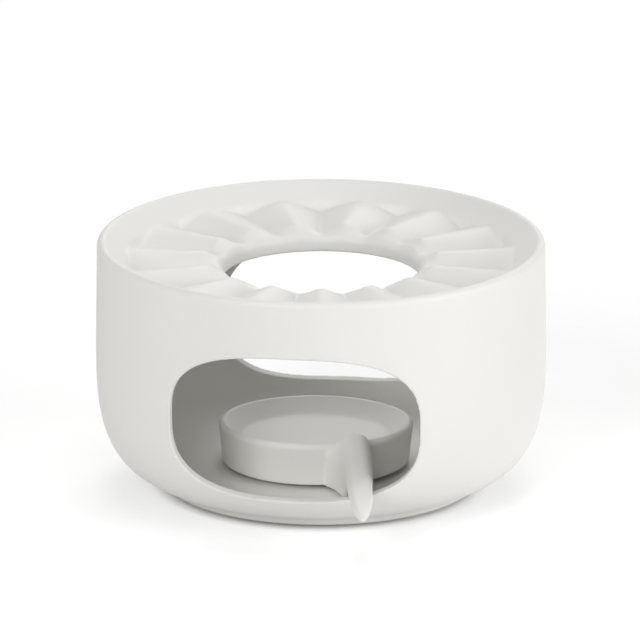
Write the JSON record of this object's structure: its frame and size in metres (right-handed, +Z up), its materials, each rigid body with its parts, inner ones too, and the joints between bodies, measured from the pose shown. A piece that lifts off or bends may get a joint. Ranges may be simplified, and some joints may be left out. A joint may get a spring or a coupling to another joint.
{
  "type": "teapot warmer",
  "caption": "Round glazed ceramic teapot warmer with an open front and back, a pleated seat round a flame hole, and a loose candle dish with a handle.",
  "frame": {"origin": "on the table, under the middle of the whole outline with the handle in; the body's own axis is 7.5 mm behind it", "axes": "+Z up, -Y out of the front opening where the handle comes out, +X to the right of somebody facing that opening"},
  "size_m": [0.13, 0.1449, 0.0729],
  "materials": {
    "body_glaze": "matt white glaze",
    "dish_glaze": "matt white glaze"
  },
  "bodies": {
    "body": {"warmer_body": "body_glaze"},
    "dish": {"candle_dish": "dish_glaze"}
  },
  "joints": [
    {"name": "dish_lift_out", "type": "slide", "parent": "body", "child": "dish", "axis": [0, -0.9367, 0.3502], "range_m": [0, 0.107]}
  ]
}
